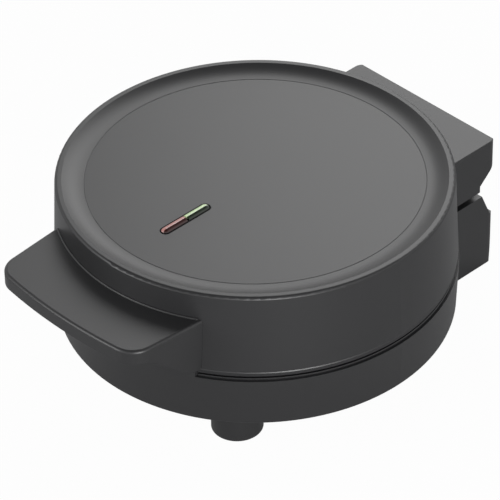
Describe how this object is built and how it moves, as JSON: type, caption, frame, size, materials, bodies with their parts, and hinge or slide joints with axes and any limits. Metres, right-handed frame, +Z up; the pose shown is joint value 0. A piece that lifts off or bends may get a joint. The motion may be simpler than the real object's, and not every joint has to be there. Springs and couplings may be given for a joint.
{
  "type": "doughnut maker",
  "caption": "Round countertop doughnut maker with a hinged lid, a wide front handle, ring-shaped baking cavities and two lamps on the lid.",
  "frame": {"origin": "on the table, in the middle of the whole object's footprint", "axes": "+Z up, -Y towards the handle, +Y towards the hinge, +X to the right seen from the front"},
  "size_m": [0.2164, 0.2714, 0.1019],
  "materials": {
    "shell": "moulded dark grey plastic with a fine even texture",
    "ring": "black heat-proof plastic, satin",
    "plate": "die cast, with a dark non-stick coating",
    "reflector": "bright rolled sheet",
    "element": "annealed tube, grey oxide",
    "steel": "zinc plated",
    "brass": "turned",
    "foot_rubber": "matt black",
    "gland": "black, satin",
    "terminal": "ivory, satin",
    "thermostat": "pressed cap",
    "fuse": "drawn case",
    "wire": "white silicone insulation",
    "sleeve": "woven glass fibre sleeve",
    "bezel": "black, polished",
    "red_lens": "pale red, polished, let light through",
    "green_lens": "pale green, polished, let light through",
    "board": "brown laminate",
    "lamp": "clear bulb"
  },
  "bodies": {
    "base": {"base_shell": "shell", "bottom_cover": "shell", "front_foot_left": "shell", "front_foot_right": "shell", "base_ring": "ring", "lower_plate": "plate", "lower_reflector": "reflector", "lower_element": "element", "lower_element_bar": "steel", "lower_bar_screw": "steel", "lower_plate_screws": "steel", "base_ring_screws": "steel", "foot_screws": "steel", "bottom_cover_screws": "steel", "hinge_pin_left": "steel", "hinge_pin_right": "steel", "fuse_clip": "steel", "foot_pads": "foot_rubber", "rear_foot_strip": "foot_rubber", "cord_gland": "gland", "terminal_block": "terminal", "terminal_screws": "brass", "thermostat": "thermostat", "thermal_fuse": "fuse", "base_wires": "wire", "base_sleeve": "sleeve"},
    "lid": {"lid_shell": "shell", "lid_handle": "shell", "handle_cover": "shell", "lid_hinge_cover": "shell", "lid_ring": "ring", "upper_plate": "plate", "upper_reflector": "reflector", "upper_element": "element", "upper_element_bar": "steel", "upper_bar_screw": "steel", "upper_plate_screws": "steel", "lid_ring_screws": "steel", "handle_screws": "steel", "handle_cover_screws": "steel", "lid_hinge_cover_screws": "steel", "lamp_board_screws": "steel", "lamp_bezel": "bezel", "power_lens": "red_lens", "ready_lens": "green_lens", "lamp_board": "board", "indicator_lamps": "lamp", "lid_wires": "wire", "lid_sleeve": "sleeve"}
  },
  "joints": [
    {"name": "lid_hinge", "type": "hinge", "parent": "base", "child": "lid", "pos_m": [0, 0.12275, 0.0511], "axis": [-1, 0, 0], "range_deg": [0, 100]}
  ]
}
